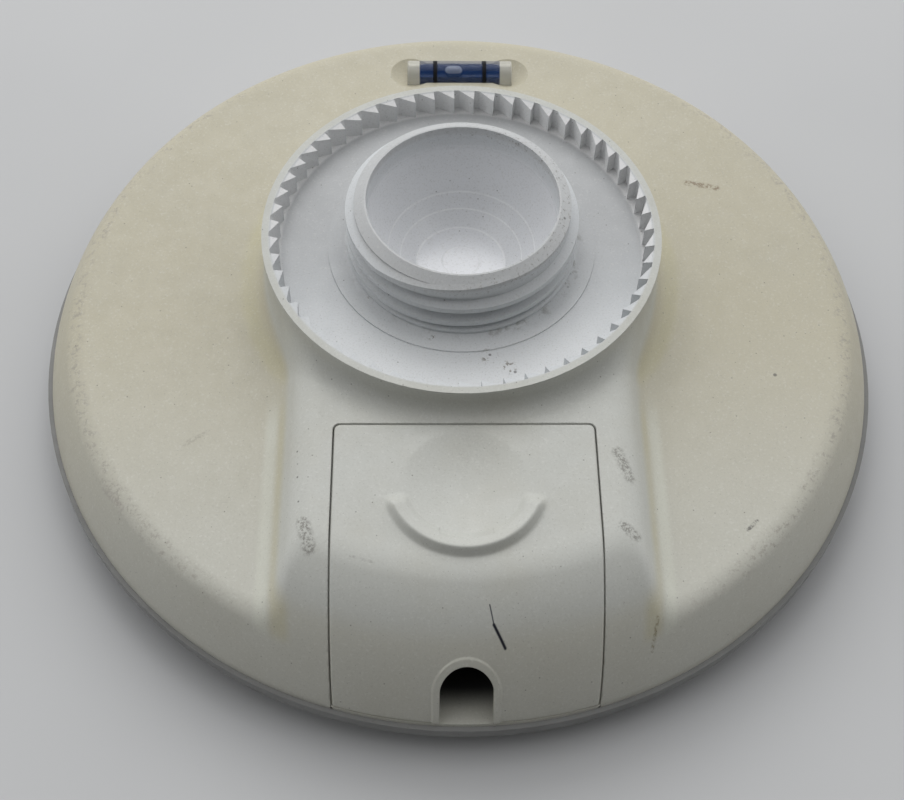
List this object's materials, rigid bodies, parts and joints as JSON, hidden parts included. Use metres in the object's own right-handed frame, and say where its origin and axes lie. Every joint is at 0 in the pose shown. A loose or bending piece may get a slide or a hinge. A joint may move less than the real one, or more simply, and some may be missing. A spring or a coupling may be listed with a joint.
{
  "type": "outdoor wireless bridge radio",
  "caption": "Round outdoor directional radio lying on its front face, with a threaded ball socket and toothed ring on the rear, a port cover and a spirit level.",
  "frame": {"origin": "centre of the front face, on the surface that the radio lies on", "axes": "+Z out of the rear, along the axis of the ball socket; -Y towards the port cover and the cable exit; +X to the right when the rear is seen with the port cover nearest"},
  "size_m": [0.189, 0.189, 0.0515],
  "materials": {
    "housing_plastic": "moulded UV-stable ASA, warm white, lightly textured, yellowed in the hollows",
    "radome_plastic": "light grey moulded plastic, satin",
    "seal_rubber": "matt",
    "clear_acrylic": "clear, polished",
    "blue_fluid": "dyed spirit",
    "bubble": "air",
    "black_ink": "printed line",
    "reflector_aluminium": "plain sheet",
    "board_laminate": "green solder mask",
    "copper": "plated copper",
    "nylon": "natural nylon",
    "jack_shell": "tinned shield",
    "gold": "gold flash",
    "black_moulding": "moulded epoxy",
    "tinned_steel": "tinned sheet",
    "pad_rubber": "soft silicone pad",
    "can_aluminium": "drawn can",
    "ferrite": "sintered ferrite",
    "button_plastic": "satin",
    "led_lens": "diffused lens",
    "screw_steel": "zinc plated"
  },
  "bodies": {
    "radio": {"rear_housing": "housing_plastic", "front_radome": "radome_plastic", "rim_seal": "seal_rubber", "level_vial": "clear_acrylic", "level_fluid": "blue_fluid", "level_line_rings": "black_ink", "antenna_reflector": "reflector_aluminium", "patch_board": "board_laminate", "antenna_patches": "copper", "patch_spacers": "nylon", "feed_pins": "copper", "feed_bushes": "nylon", "main_board": "board_laminate", "ethernet_jack": "jack_shell", "jack_contacts": "gold", "ethernet_magnetics": "black_moulding", "radio_shield": "tinned_steel", "processor_shield": "tinned_steel", "radio_chip": "black_moulding", "processor_chip": "black_moulding", "thermal_pads": "pad_rubber", "capacitors": "can_aluminium", "power_inductor": "ferrite", "reset_switch": "black_moulding", "status_leds": "led_lens", "board_screws": "screw_steel", "reflector_screws": "screw_steel"},
    "port_cover": {"port_cover": "housing_plastic"},
    "reset_button": {"reset_button": "button_plastic"},
    "level_bubble": {"level_bubble": "bubble"}
  },
  "joints": [
    {"name": "port_cover_slide", "type": "slide", "parent": "radio", "child": "port_cover", "axis": [0, -1, 0], "range_m": [0, 0.062]},
    {"name": "reset_button_press", "type": "slide", "parent": "radio", "child": "reset_button", "axis": [0, 1, 0], "range_m": [0, 0.0006], "stiffness_N_per_m": 400},
    {"name": "level_bubble_travel", "type": "slide", "parent": "radio", "child": "level_bubble", "axis": [1, 0, 0], "range_m": [-0.0058, 0.0088]}
  ]
}
